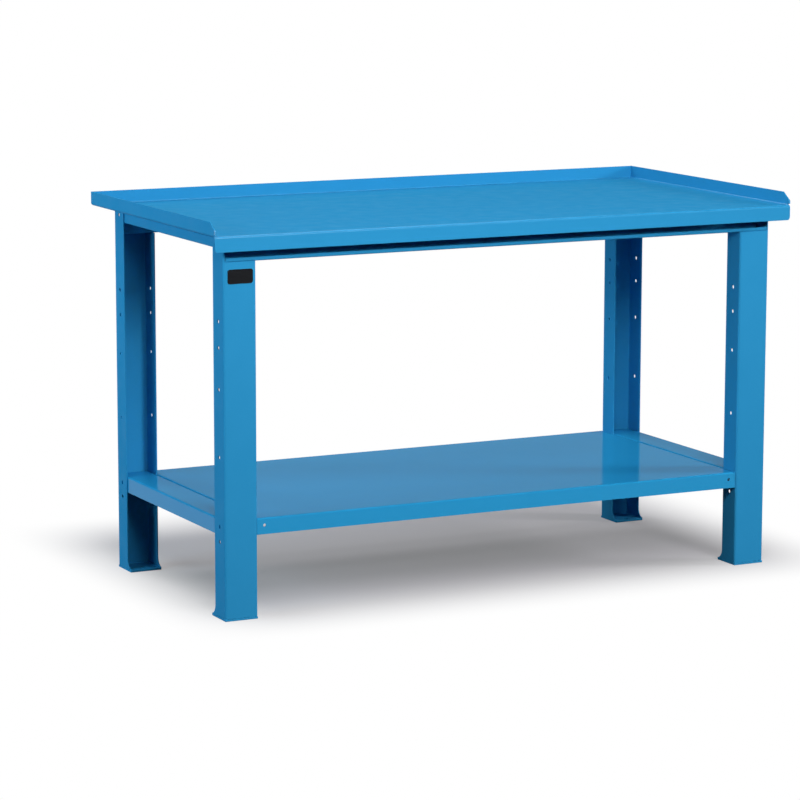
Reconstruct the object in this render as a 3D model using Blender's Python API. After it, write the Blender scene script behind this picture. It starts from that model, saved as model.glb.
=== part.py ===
"""Steel workbench with a lipped tray top, four folded channel legs, C rails and a lower shelf.

Units are metres, +Z is up and the bench stands on z = 0. The origin is on the floor under the middle of
the worktop, +X runs to the right along the front, and the front faces -Y. Nothing on the bench moves.
"""

import math

import bmesh
import bpy
from mathutils import Matrix, Vector

# Fits shared by all pieces
SEAT_GAP = 0.0003
CUT_OVERRUN = 0.004

# Worktop: one sheet folded up at the rear and both ends, and down at the front
TOP_LENGTH = 1.500
TOP_DEPTH = 0.750
TOP_HEIGHT = 0.880
TOP_SHEET = 0.003
TOP_BEND = 0.003
TOP_LIP_HEIGHT = 0.030
TOP_SKIRT_HEIGHT = 0.036
TOP_LIP_CHAMFER_RUN = 0.028
TOP_LIP_CHAMFER_DROP = 0.019
TOP_SKIRT_CORNER = 0.010
TOP_STUD_DIAMETER = 0.008
TOP_STUD_LENGTH = 0.016
TOP_STUD_INSET = 0.160

# Frame: where the legs stand under the worktop
FRAME_INSET_SIDE = 0.035
FRAME_INSET_FRONT = 0.038
FRAME_INSET_REAR = 0.062

# Legs: folded channels, open towards the middle of the bench, punched along both flanges
LEG_WIDTH = 0.080
LEG_DEPTH = 0.058
LEG_SHEET = 0.0025
LEG_BEND = 0.0025
LEG_HOLE_DIAMETER = 0.009
LEG_HOLE_LINE = 0.030
LEG_HOLE_PAIR = 0.034
LEG_HOLE_HEIGHT_SHARES = (0.264, 0.520, 0.677, 0.775)

# Feet: the flanges flare out at the floor and stand on a drilled plate
FOOT_SHEET = 0.005
FOOT_FLARE = 0.021
FOOT_FLARE_HEIGHT = 0.024
FOOT_CORNER = 0.003
FOOT_HOLE_DIAMETER = 0.012
FOOT_HOLE_INSET = 0.018

# Rails: C sections under the front and rear of the worktop, open outwards, with a plate at each end
RAIL_HEIGHT = 0.060
RAIL_DEPTH = 0.050
RAIL_LIP = 0.009
RAIL_SHEET = 0.002
RAIL_BEND = 0.0015
RAIL_PLATE_SHEET = 0.003
RAIL_SCREW_DROP = 0.015

# End beams: C sections between the rails, seated inside the outer flanges of the legs
END_BEAM_HEIGHT = 0.033
END_BEAM_DEPTH = 0.030
END_BEAM_SHEET = 0.002
END_BEAM_BEND = 0.002

# Stiffeners: hat sections under the worktop and under the shelf
HAT_WIDTH = 0.040
HAT_HEIGHT = 0.024
HAT_FLANGE = 0.018
HAT_SHEET = 0.0015
HAT_BEND = 0.0015
TOP_HAT_OFFSET = 0.115

# Shelf: a folded panel between the legs, and a folded piece inside the two legs at each end
SHELF_HEIGHT = 0.231
SHELF_FLANGE = 0.038
SHELF_SHEET = 0.002
SHELF_BEND = 0.002
SHELF_SETBACK = 0.003
SHELF_BOLT_DROP = 0.018
SHELF_HOLE_DIAMETER = 0.007
SHELF_HOLE_INSET = 0.019
SHELF_HOLE_DROP = 0.017

# Fasteners: M8 hexagon screws, plain nuts on the shelf and flanged nuts under the worktop
SCREW_DIAMETER = 0.008
SCREW_HEAD_WIDTH = 0.013
SCREW_HEAD_HEIGHT = 0.0053
SCREW_TIP_SETBACK = 0.0008
NUT_WIDTH = 0.013
NUT_HEIGHT = 0.0068
NUT_FLANGE_DIAMETER = 0.0175
NUT_FLANGE_SHEET = 0.0015
THREAD_CLEARANCE = 0.0004
THREAD_STANDOUT = 0.0025
HEX_CHAMFER_SHARE = 0.10

# Facets
BEND_STEPS = 3
CORNER_STEPS = 5
HOLE_SIDES = 16
SCREW_SIDES = 12

# Places that follow from the sizes above
TOP_UNDERSIDE = TOP_HEIGHT - TOP_SHEET
FRAME_TOP = TOP_UNDERSIDE - SEAT_GAP
RAIL_BOTTOM = FRAME_TOP - RAIL_HEIGHT
FRAME_HALF_LENGTH = TOP_LENGTH / 2 - FRAME_INSET_SIDE
FRAME_FRONT = -TOP_DEPTH / 2 + FRAME_INSET_FRONT
FRAME_REAR = TOP_DEPTH / 2 - FRAME_INSET_REAR
SHELF_BOLT_HEIGHT = SHELF_HEIGHT - SHELF_BOLT_DROP
RAIL_END = LEG_SHEET + RAIL_PLATE_SHEET + 2 * SEAT_GAP
INSIDE_OUTER_FLANGE = FRAME_HALF_LENGTH - LEG_SHEET - SEAT_GAP

# The four corners of the frame. Each turns corner places, where x and y run inwards from the outer
# faces of the leg, into places on the bench.
CORNERS = {
    "front_left": (-1, -1),
    "front_right": (1, -1),
    "rear_left": (-1, 1),
    "rear_right": (1, 1),
}
SIDES = {"left": -1, "right": 1}
ENDS = {"front": -1, "rear": 1}


def material(name, colour, roughness, metallic=0.0):
    """A Principled material with one linear colour."""
    made = bpy.data.materials.new(name)
    made.use_nodes = True
    shader = made.node_tree.nodes["Principled BSDF"]
    shader.inputs["Base Color"].default_value = (*colour, 1.0)
    shader.inputs["Roughness"].default_value = roughness
    shader.inputs["Metallic"].default_value = metallic
    made.diffuse_color = (*colour, 1.0)
    return made


def make_object(name, body, finish):
    """Turns a bmesh into a named object with one material."""
    mesh = bpy.data.meshes.new(name)
    body.to_mesh(mesh)
    body.free()
    made = bpy.data.objects.new(name, mesh)
    made.data.materials.append(finish)
    bpy.context.scene.collection.objects.link(made)
    return made


def cut(target, name, body, operation="DIFFERENCE"):
    """Cuts a bmesh out of an object, or joins it on, with a Boolean whose second shape stays as a guide."""
    mesh = bpy.data.meshes.new(name)
    body.to_mesh(mesh)
    body.free()
    guide = bpy.data.objects.new(name, mesh)
    guide.hide_render = True
    guide.display_type = "WIRE"
    bpy.context.scene.collection.objects.link(guide)
    boolean = target.modifiers.new(name, "BOOLEAN")
    boolean.operation = operation
    boolean.solver = "EXACT"
    boolean.object = guide
    guide.parent = target


def prism(outline, axis, start, end):
    """Extrudes a closed outline along an axis. The outline's own two axes are the other two, in order."""
    body = bmesh.new()
    order = {"X": (2, 0, 1), "Y": (0, 2, 1), "Z": (0, 1, 2)}[axis]
    corners = []
    for u, v in outline:
        flat = (u, v, start)
        corners.append(body.verts.new([flat[i] for i in order]))
    face = body.faces.new(corners)
    grown = bmesh.ops.extrude_face_region(body, geom=[face])
    moved = [part for part in grown["geom"] if isinstance(part, bmesh.types.BMVert)]
    along = Vector((axis == "X", axis == "Y", axis == "Z"))
    bmesh.ops.translate(body, verts=moved, vec=along * (end - start))
    bmesh.ops.recalc_face_normals(body, faces=body.faces)
    return body


def box(low, high):
    """A block between two opposite corners."""
    outline = [(low[0], low[1]), (high[0], low[1]), (high[0], high[1]), (low[0], high[1])]
    return prism(outline, "Z", low[2], high[2])


def rods(axis, start, end, diameter, places, sides=HOLE_SIDES):
    """Round bars along an axis, one at each place of the other two axes, used to cut holes."""
    body = bmesh.new()
    turn = {"X": Matrix.Rotation(math.pi / 2, 4, "Y"), "Y": Matrix.Rotation(math.pi / 2, 4, "X"),
            "Z": Matrix.Identity(4)}[axis]
    middle = (start + end) / 2
    for u, v in places:
        centre = {"X": (middle, u, v), "Y": (u, middle, v), "Z": (u, v, middle)}[axis]
        bmesh.ops.create_cone(body, cap_ends=True, segments=sides, radius1=diameter / 2,
                              radius2=diameter / 2, depth=abs(end - start),
                              matrix=Matrix.Translation(centre) @ turn)
    return body


def folded_outline(line, sheet, bend):
    """The cut end of a folded sheet: the line gives one face, and the sheet lies on the line's left."""
    points = [Vector(point) for point in line]
    near_face = []
    far_face = []
    for i, corner in enumerate(points):
        if i in (0, len(points) - 1):
            run = points[1] - points[0] if i == 0 else points[-1] - points[-2]
            left = Vector((-run.y, run.x)).normalized()
            near_face.append(corner)
            far_face.append(corner + left * sheet)
            continue
        before = (corner - points[i - 1]).normalized()
        after = (points[i + 1] - corner).normalized()
        angle = math.atan2(before.x * after.y - before.y * after.x, before.dot(after))
        side = 1 if angle > 0 else -1
        near_radius = bend + sheet if angle > 0 else bend
        far_radius = bend if angle > 0 else bend + sheet
        to_centre = Vector((-before.y, before.x)) * side
        centre = corner - before * near_radius * math.tan(abs(angle) / 2) + to_centre * near_radius
        for step in range(BEND_STEPS + 1):
            arm = Matrix.Rotation(angle * step / BEND_STEPS, 2) @ -to_centre
            near_face.append(centre + arm * near_radius)
            far_face.append(centre + arm * far_radius)
    return near_face + far_face[::-1]


def sheet_between(near_points, far_points, faces):
    """A sheet with two skins of the same layout, closed along its free edges."""
    body = bmesh.new()
    near = [body.verts.new(point) for point in near_points]
    far = [body.verts.new(point) for point in far_points]
    used = {}
    for face in faces:
        body.faces.new([near[i] for i in face])
        body.faces.new([far[i] for i in reversed(face)])
        for a, b in zip(face, face[1:] + face[:1]):
            used[frozenset((a, b))] = used.get(frozenset((a, b)), []) + [(a, b)]
    for uses in used.values():
        if len(uses) == 1:
            a, b = uses[0]
            body.faces.new([near[b], near[a], far[a], far[b]])
    bmesh.ops.recalc_face_normals(body, faces=body.faces)
    return body


def ring_stack(rings, sides=SCREW_SIDES, hollow=False):
    """Skins rings of points round +X into a closed body. A ring is its place along X, its radius at the
    hexagon's corners and its radius at the hexagon's flats, which are equal on a round ring."""
    body = bmesh.new()
    loops = []
    for place, corner_radius, flat_radius in rings:
        loop = []
        for i in range(sides):
            radius = flat_radius if i % 2 else corner_radius
            angle = 2 * math.pi * i / sides
            loop.append(body.verts.new((place, radius * math.cos(angle), radius * math.sin(angle))))
        loops.append(loop)
    pairs = list(zip(loops, loops[1:]))
    if hollow:
        pairs.append((loops[-1], loops[0]))
    for one, other in pairs:
        for i in range(sides):
            j = (i + 1) % sides
            body.faces.new([one[i], one[j], other[j], other[i]])
    if not hollow:
        body.faces.new(loops[0])
        body.faces.new(loops[-1])
    bmesh.ops.recalc_face_normals(body, faces=body.faces)
    return body


def hex_rings(start, end, width, chamfered):
    """Rings of a hexagonal prism along X, with its corners turned off at the end named last."""
    corner = width / math.sqrt(3)
    flat = width / 2
    chamfer = (end - start) * HEX_CHAMFER_SHARE
    rings = [(start, corner, flat), (end - chamfer, corner, flat)]
    if chamfered:
        rings.append((end, flat, flat))
    return rings


def hex_screw(length):
    """A hexagon screw: its head's seat is at x = 0, its shank runs to +X and its head to -X."""
    shank = SCREW_DIAMETER / 2
    tip = shank * HEX_CHAMFER_SHARE
    head = hex_rings(0.0, -SCREW_HEAD_HEIGHT, SCREW_HEAD_WIDTH, True)
    rings = head[::-1] + [(0.0, shank, shank), (length - tip, shank, shank)]
    rings.append((length, shank - tip, shank - tip))
    return ring_stack(rings)


def hex_nut(flanged):
    """A hexagon nut whose seat is at x = 0 and whose body runs to +X, with an optional round flange."""
    bore = SCREW_DIAMETER / 2 + THREAD_CLEARANCE
    rings = []
    start = 0.0
    if flanged:
        rim = NUT_FLANGE_DIAMETER / 2
        rings += [(0.0, rim, rim), (NUT_FLANGE_SHEET, rim, rim)]
        start = NUT_FLANGE_SHEET
    rings += hex_rings(start, NUT_HEIGHT, NUT_WIDTH, True)
    rings += [(NUT_HEIGHT, bore, bore), (0.0, bore, bore)]
    return ring_stack(rings, hollow=True)


def arc_points(centre, radius, start, end, steps):
    """Points of a circular arc between two angles in turns of a right angle."""
    points = []
    for step in range(steps + 1):
        angle = math.radians(90) * (start + (end - start) * step / steps)
        points.append((centre[0] + radius * math.cos(angle), centre[1] + radius * math.sin(angle)))
    return points


def to_corner(body, corner):
    """Moves a body from corner places to its corner of the bench, mirrored where the corner needs it."""
    side, end = CORNERS[corner]
    front = end < 0
    mirror = Matrix.Diagonal((-side, -end, 1, 1))
    place = Matrix.Translation((side * FRAME_HALF_LENGTH, FRAME_FRONT if front else FRAME_REAR, 0))
    body.transform(place @ mirror)
    if side * end < 0:
        bmesh.ops.reverse_faces(body, faces=body.faces)
    return body


def to_side(body, side):
    """Mirrors a body that is modelled on the right to the left side."""
    if SIDES[side] < 0:
        body.transform(Matrix.Diagonal((-1, 1, 1, 1)))
        bmesh.ops.reverse_faces(body, faces=body.faces)
    return body


def to_end(body, end):
    """Turns a body modelled with y inwards from the outer face of the frame to the front or the rear."""
    if ENDS[end] < 0:
        body.transform(Matrix.Translation((0, FRAME_FRONT, 0)))
    else:
        body.transform(Matrix.Translation((0, FRAME_REAR, 0)) @ Matrix.Diagonal((1, -1, 1, 1)))
        bmesh.ops.reverse_faces(body, faces=body.faces)
    return body


def top_skin(below):
    """Points of the worktop's sheet at a depth below its top face, and the faces between them."""
    points = []
    faces = []

    def add(*place):
        points.append(Vector(place))
        return len(points) - 1

    half_length = TOP_LENGTH / 2
    half_depth = TOP_DEPTH / 2
    turn = TOP_SHEET + TOP_BEND
    lip_top = TOP_HEIGHT + TOP_LIP_HEIGHT
    lip_foot = TOP_HEIGHT + TOP_BEND
    wall = TOP_SHEET - below

    # Rows round the two ends and the rear, from the flat out and up to the foot of the lip
    rows = []
    for distance, height in arc_points((turn, lip_foot), TOP_BEND + below, -1, -2, BEND_STEPS):
        rows.append([
            add(-half_length + distance, -half_depth + turn, height),
            add(-half_length + distance, half_depth - distance, height),
            add(half_length - distance, half_depth - distance, height),
            add(half_length - distance, -half_depth + turn, height),
        ])
    for inner, outer in zip(rows, rows[1:]):
        for i in range(3):
            faces.append([inner[i], inner[i + 1], outer[i + 1], outer[i]])
    faces.append([rows[0][0], rows[0][3], rows[0][2], rows[0][1]])

    # Lips, with the front ends of the side lips cut back to a slope
    feet = rows[-1]
    rear = [add(side * (half_length - wall), half_depth - wall, lip_top) for side in (-1, 1)]
    faces.append([feet[1], feet[2], rear[1], rear[0]])
    slope_foot = lip_top - TOP_LIP_CHAMFER_DROP
    corners = ((-1, feet[0], feet[1], rear[0]), (1, feet[3], feet[2], rear[1]))
    for side, foot_front, foot_rear, top_rear in corners:
        x = side * (half_length - wall)
        front = [
            add(x, -half_depth + TOP_LIP_CHAMFER_RUN, lip_top),
            add(x, -half_depth, slope_foot),
            add(x, -half_depth, lip_foot),
        ]
        face = [foot_front, foot_rear, top_rear] + front
        faces.append(face if side < 0 else face[::-1])

    # Skirt, rolled over the front edge, with rounded lower corners
    roll = [[rows[0][0], rows[0][3]]]
    for offset, height in arc_points((turn, TOP_HEIGHT - turn), turn - below, 1, 2, BEND_STEPS)[1:]:
        roll.append([add(side * (half_length - turn), -half_depth + offset, height) for side in (-1, 1)])
    for upper, lower in zip(roll, roll[1:]):
        faces.append([upper[0], lower[0], lower[1], upper[1]])
    bottom = TOP_HEIGHT - TOP_SKIRT_HEIGHT
    radius = TOP_SKIRT_CORNER
    left_corner = arc_points((-half_length + radius, bottom + radius), radius, 2, 3, CORNER_STEPS)
    right_corner = arc_points((half_length - radius, bottom + radius), radius, 3, 4, CORNER_STEPS)
    skirt = [(-half_length, TOP_HEIGHT - turn)] + left_corner + right_corner
    skirt.append((half_length, TOP_HEIGHT - turn))
    plate = [add(x, -half_depth + below, z) for x, z in skirt]
    faces.append([roll[-1][0]] + plate + [roll[-1][1]])
    return points, faces


def stud_places():
    """Places along the rails where the worktop is held: near both ends and in the middle."""
    outer = FRAME_HALF_LENGTH - TOP_STUD_INSET
    return {"left": -outer, "middle": 0.0, "right": outer}


def rail_middle(end):
    """The line down the middle of a rail."""
    return FRAME_FRONT + RAIL_DEPTH / 2 if ENDS[end] < 0 else FRAME_REAR - RAIL_DEPTH / 2


def make_worktop(finish):
    """The tray top, with the welded studs that hold it to the rails."""
    upper, faces = top_skin(0.0)
    lower, _ = top_skin(TOP_SHEET)
    worktop = make_object("worktop", sheet_between(upper, lower, faces), finish)
    places = [(x, rail_middle(end)) for end in ENDS for x in stud_places().values()]
    studs = rods("Z", TOP_UNDERSIDE - TOP_STUD_LENGTH, TOP_UNDERSIDE + TOP_SHEET / 2, TOP_STUD_DIAMETER,
                 places, SCREW_SIDES)
    cut(worktop, "worktop_studs", studs, "UNION")


def hat_outline(middle, top):
    """The cut end of a hat section that hangs below a height, in y and z."""
    wall = HAT_WIDTH / 2
    rim = wall + HAT_FLANGE
    low = top - HAT_HEIGHT
    line = [(-rim, top), (-wall, top), (-wall, low), (wall, low), (wall, top), (rim, top)]
    return folded_outline([(middle + y, z) for y, z in reversed(line)], HAT_SHEET, HAT_BEND)


def make_worktop_stiffeners(finish):
    """Two hat sections welded under the worktop, running between the end beams."""
    reach = INSIDE_OUTER_FLANGE - END_BEAM_DEPTH - SEAT_GAP
    middle = (FRAME_FRONT + FRAME_REAR) / 2
    for end, sign in ENDS.items():
        outline = hat_outline(middle + sign * TOP_HAT_OFFSET, FRAME_TOP)
        make_object("worktop_stiffener_" + end, prism(outline, "X", -reach, reach), finish)


def leg_profile():
    """The channel's cut end in corner places: outer flange, web and inner flange."""
    deep = LEG_DEPTH + FOOT_FLARE
    line = [(0, deep), (0, 0), (LEG_WIDTH, 0), (LEG_WIDTH, deep)]
    return folded_outline(line, LEG_SHEET, LEG_BEND)


def flange_waste():
    """What is cut off the flanges above the flared foot, as an outline in y and z of the corner."""
    foot = FOOT_SHEET + SEAT_GAP
    radius = (FOOT_FLARE ** 2 + FOOT_FLARE_HEIGHT ** 2) / (2 * FOOT_FLARE)
    sweep = math.asin(min(1.0, FOOT_FLARE_HEIGHT / radius))
    centre = (LEG_DEPTH + radius, foot + FOOT_FLARE_HEIGHT)
    curve = []
    for step in range(CORNER_STEPS + 1):
        angle = math.pi + sweep * step / CORNER_STEPS
        curve.append((centre[0] + radius * math.cos(angle), centre[1] + radius * math.sin(angle)))
    outside = LEG_DEPTH + FOOT_FLARE + CUT_OVERRUN
    last = curve[-1]
    above = FRAME_TOP + CUT_OVERRUN
    return [(LEG_DEPTH, above)] + curve + [(outside, last[1]), (outside, above)]


def leg_hole_heights():
    """Heights of the punched row: the shelf's pair, the holes above it and the rail's screw at the top."""
    span = RAIL_BOTTOM - SHELF_BOLT_HEIGHT
    heights = [SHELF_BOLT_HEIGHT - LEG_HOLE_PAIR, SHELF_BOLT_HEIGHT, FRAME_TOP - RAIL_SCREW_DROP]
    heights += [SHELF_BOLT_HEIGHT + span * share for share in LEG_HOLE_HEIGHT_SHARES]
    return heights


def make_legs(finish):
    """Four channels. The web and inner flange stop under the rail, and the outer flange covers its end."""
    foot = FOOT_SHEET + SEAT_GAP
    shoulder = RAIL_BOTTOM - SEAT_GAP
    keep = LEG_SHEET + LEG_BEND
    for corner in CORNERS:
        channel = prism(leg_profile(), "Z", foot, FRAME_TOP)
        leg = make_object("leg_" + corner, to_corner(channel, corner), finish)
        waste = prism(flange_waste(), "X", -CUT_OVERRUN, LEG_WIDTH + CUT_OVERRUN)
        cut(leg, "flange_waste_" + corner, to_corner(waste, corner))
        head = box((keep, -CUT_OVERRUN, shoulder),
                   (LEG_WIDTH + CUT_OVERRUN, LEG_DEPTH + FOOT_FLARE + CUT_OVERRUN, FRAME_TOP + CUT_OVERRUN))
        cut(leg, "rail_seat_" + corner, to_corner(head, corner))
        places = [(LEG_HOLE_LINE, height) for height in leg_hole_heights()]
        row = rods("X", -CUT_OVERRUN, LEG_WIDTH + CUT_OVERRUN, LEG_HOLE_DIAMETER, places)
        cut(leg, "flange_holes_" + corner, to_corner(row, corner))


def make_foot_plates(finish):
    """A drilled plate welded under each leg, as deep as the flared flanges."""
    deep = LEG_DEPTH + FOOT_FLARE
    radius = FOOT_CORNER
    outline = [(0.0, 0.0), (LEG_WIDTH, 0.0)]
    outline += arc_points((LEG_WIDTH - radius, deep - radius), radius, 0, 1, BEND_STEPS)
    outline += arc_points((radius, deep - radius), radius, 1, 2, BEND_STEPS)
    for corner in CORNERS:
        sheet = prism(outline, "Z", 0.0, FOOT_SHEET)
        plate = make_object("foot_plate_" + corner, to_corner(sheet, corner), finish)
        hole = rods("Z", -CUT_OVERRUN, FOOT_SHEET + CUT_OVERRUN, FOOT_HOLE_DIAMETER,
                    [(LEG_WIDTH / 2, deep - FOOT_HOLE_INSET)])
        cut(plate, "floor_hole_" + corner, to_corner(hole, corner))


def make_rails(finish):
    """Front and rear C rails, open outwards, resting on the webs of the legs under the worktop."""
    reach = FRAME_HALF_LENGTH - RAIL_END
    line = [
        (0, FRAME_TOP - RAIL_LIP),
        (0, FRAME_TOP),
        (RAIL_DEPTH, FRAME_TOP),
        (RAIL_DEPTH, RAIL_BOTTOM),
        (0, RAIL_BOTTOM),
        (0, RAIL_BOTTOM + RAIL_LIP),
    ]
    outline = folded_outline(line[::-1], RAIL_SHEET, RAIL_BEND)
    clearance = TOP_STUD_DIAMETER + LEG_HOLE_DIAMETER - SCREW_DIAMETER
    for end in ENDS:
        rail = make_object("rail_" + end, to_end(prism(outline, "X", -reach, reach), end), finish)
        places = [(x, RAIL_DEPTH / 2) for x in stud_places().values()]
        holes = rods("Z", FRAME_TOP - RAIL_SHEET - CUT_OVERRUN, FRAME_TOP + CUT_OVERRUN, clearance, places)
        cut(rail, "stud_holes_" + end, to_end(holes, end))


def make_rail_plates(finish):
    """The plate welded on each end of a rail, which a screw holds to the leg's outer flange."""
    inner = LEG_SHEET + SEAT_GAP
    for corner in CORNERS:
        sheet = box((inner, LEG_SHEET + LEG_BEND, RAIL_BOTTOM),
                    (inner + RAIL_PLATE_SHEET, RAIL_DEPTH, FRAME_TOP))
        plate = make_object("rail_plate_" + corner, to_corner(sheet, corner), finish)
        hole = rods("X", 0.0, RAIL_END + CUT_OVERRUN, LEG_HOLE_DIAMETER,
                    [(LEG_HOLE_LINE, FRAME_TOP - RAIL_SCREW_DROP)])
        cut(plate, "plate_hole_" + corner, to_corner(hole, corner))


def make_rail_screws(finish):
    """A screw in each rail end, put in from inside the rail, whose tip ends inside the leg's flange."""
    seat = RAIL_END
    length = seat - SCREW_TIP_SETBACK
    for corner in CORNERS:
        body = hex_screw(length)
        body.transform(Matrix.Translation((seat, LEG_HOLE_LINE, FRAME_TOP - RAIL_SCREW_DROP))
                       @ Matrix.Rotation(math.pi, 4, "Z"))
        make_object("rail_screw_" + corner, to_corner(body, corner), finish)


def make_worktop_nuts(finish):
    """Flanged nuts on the worktop's studs, seen only from inside the rails."""
    seat = FRAME_TOP - RAIL_SHEET - SEAT_GAP
    for end in ENDS:
        for side, x in stud_places().items():
            body = hex_nut(True)
            body.transform(Matrix.Rotation(math.pi / 2, 4, "Y"))
            body.transform(Matrix.Translation((x, rail_middle(end), seat)))
            make_object("worktop_nut_" + end + "_" + side, body, finish)


def make_end_beams(finish):
    """C sections at both ends, between the rails, open towards the middle of the bench."""
    face = INSIDE_OUTER_FLANGE
    low = FRAME_TOP - END_BEAM_HEIGHT
    inner = face - END_BEAM_DEPTH
    outline = folded_outline([(inner, low), (face, low), (face, FRAME_TOP), (inner, FRAME_TOP)],
                             END_BEAM_SHEET, END_BEAM_BEND)
    start = FRAME_FRONT + RAIL_DEPTH + SEAT_GAP
    end = FRAME_REAR - RAIL_DEPTH - SEAT_GAP
    for side in SIDES:
        make_object("end_beam_" + side, to_side(prism(outline, "Y", start, end), side), finish)


def shelf_bolt_places():
    """Where the shelf's bolts pass, in y and z: on the hole lines of the front and rear legs."""
    front = FRAME_FRONT + LEG_HOLE_LINE
    rear = FRAME_REAR - LEG_HOLE_LINE
    return [(front, SHELF_BOLT_HEIGHT), (rear, SHELF_BOLT_HEIGHT)]


def shelf_skin(inset):
    """Points of the shelf panel's sheet at a depth under its outer face, and the faces between them."""
    points = []
    rows = []
    half_length = FRAME_HALF_LENGTH - LEG_WIDTH - SEAT_GAP
    front = FRAME_FRONT + SHELF_SETBACK
    rear = FRAME_REAR - SHELF_SETBACK
    turn = SHELF_SHEET + SHELF_BEND
    profile = arc_points((turn, SHELF_HEIGHT - turn), turn - inset, 1, 2, BEND_STEPS)
    profile.append((inset, SHELF_HEIGHT - SHELF_FLANGE))
    for distance, height in profile:
        rows.append(len(points))
        for x, y in ((-half_length + distance, front + distance), (half_length - distance, front + distance),
                     (half_length - distance, rear - distance), (-half_length + distance, rear - distance)):
            points.append(Vector((x, y, height)))
    faces = [[rows[0], rows[0] + 1, rows[0] + 2, rows[0] + 3]]
    for upper, lower in zip(rows, rows[1:]):
        for i in range(4):
            j = (i + 1) % 4
            faces.append([upper + i, lower + i, lower + j, upper + j])
    return points, faces


def make_shelf_panel(finish):
    """The shelf panel: a sheet turned down on all four sides, drilled at the ends and the front."""
    upper, faces = shelf_skin(0.0)
    lower, _ = shelf_skin(SHELF_SHEET)
    panel = make_object("shelf_panel", sheet_between(upper, lower, faces), finish)
    half_length = FRAME_HALF_LENGTH - LEG_WIDTH
    for side, sign in SIDES.items():
        ends = sorted((sign * (half_length + CUT_OVERRUN), sign * (half_length - SHELF_SHEET - CUT_OVERRUN)))
        cut(panel, "shelf_bolt_holes_" + side, rods("X", *ends, LEG_HOLE_DIAMETER, shelf_bolt_places()))
    height = SHELF_HEIGHT - SHELF_HOLE_DROP
    places = [(sign * (half_length - SHELF_HOLE_INSET), height) for sign in SIDES.values()]
    for end, sign in ENDS.items():
        face = FRAME_FRONT + SHELF_SETBACK if sign < 0 else FRAME_REAR - SHELF_SETBACK
        holes = rods("Y", face - SHELF_SHEET - CUT_OVERRUN, face + SHELF_SHEET + CUT_OVERRUN,
                     SHELF_HOLE_DIAMETER, places)
        cut(panel, "shelf_edge_holes_" + end, holes)


def make_shelf_ends(finish):
    """The folded pieces at the shelf's ends, which run inside the channels from front leg to rear leg."""
    outer = INSIDE_OUTER_FLANGE
    inner = FRAME_HALF_LENGTH - LEG_WIDTH + LEG_SHEET + SEAT_GAP
    low = SHELF_HEIGHT - SHELF_FLANGE
    line = [(outer, low), (outer, SHELF_HEIGHT), (inner, SHELF_HEIGHT), (inner, low)]
    outline = folded_outline(line, SHELF_SHEET, SHELF_BEND)
    start = FRAME_FRONT + LEG_SHEET + LEG_BEND
    end = FRAME_REAR - LEG_SHEET - LEG_BEND
    for side in SIDES:
        piece = make_object("shelf_end_" + side, to_side(prism(outline, "Y", start, end), side), finish)
        holes = rods("X", inner - CUT_OVERRUN, inner + SHELF_SHEET + CUT_OVERRUN, LEG_HOLE_DIAMETER,
                     shelf_bolt_places())
        cut(piece, "shelf_end_holes_" + side, to_side(holes, side))


def make_shelf_stiffener(finish):
    """A hat section welded along the middle of the shelf panel's underside."""
    reach = FRAME_HALF_LENGTH - LEG_WIDTH - 2 * SEAT_GAP - SHELF_SHEET - SHELF_BEND
    middle = (FRAME_FRONT + FRAME_REAR) / 2
    outline = hat_outline(middle, SHELF_HEIGHT - SHELF_SHEET - SEAT_GAP)
    make_object("shelf_stiffener", prism(outline, "X", -reach, reach), finish)


def make_shelf_fasteners(finish):
    """A bolt and a nut at each leg: they clamp the shelf end, the inner flange and the panel together."""
    seat = LEG_WIDTH - LEG_SHEET - SHELF_SHEET - 2 * SEAT_GAP
    nut_seat = LEG_WIDTH + SHELF_SHEET + 2 * SEAT_GAP
    length = nut_seat + NUT_HEIGHT + THREAD_STANDOUT - seat
    for corner in CORNERS:
        bolt = hex_screw(length)
        bolt.transform(Matrix.Translation((seat, LEG_HOLE_LINE, SHELF_BOLT_HEIGHT)))
        make_object("shelf_bolt_" + corner, to_corner(bolt, corner), finish)
        nut = hex_nut(False)
        nut.transform(Matrix.Translation((nut_seat, LEG_HOLE_LINE, SHELF_BOLT_HEIGHT)))
        make_object("shelf_nut_" + corner, to_corner(nut, corner), finish)


def main():
    for old in list(bpy.data.objects):
        bpy.data.objects.remove(old)
    frame_paint = material("blue_powder_coat", (0.026, 0.282, 0.578), 0.38)
    shelf_paint = material("blue_powder_coat_gloss", (0.030, 0.290, 0.580), 0.22)
    zinc = material("zinc_plated_steel", (0.62, 0.63, 0.64), 0.35, 1.0)
    make_worktop(frame_paint)
    make_worktop_stiffeners(frame_paint)
    make_legs(frame_paint)
    make_foot_plates(frame_paint)
    make_rails(frame_paint)
    make_rail_plates(frame_paint)
    make_rail_screws(zinc)
    make_worktop_nuts(zinc)
    make_end_beams(frame_paint)
    make_shelf_panel(shelf_paint)
    make_shelf_ends(shelf_paint)
    make_shelf_stiffener(shelf_paint)
    make_shelf_fasteners(zinc)


main()
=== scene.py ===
"""Looks of the steel workbench: folded and welded sheet metal under a blue powder coat, on a pale floor.

Units are metres. +Z is up, +X runs to the right along the front and the front faces -Y, as in the CAD.
"""

import math

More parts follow.
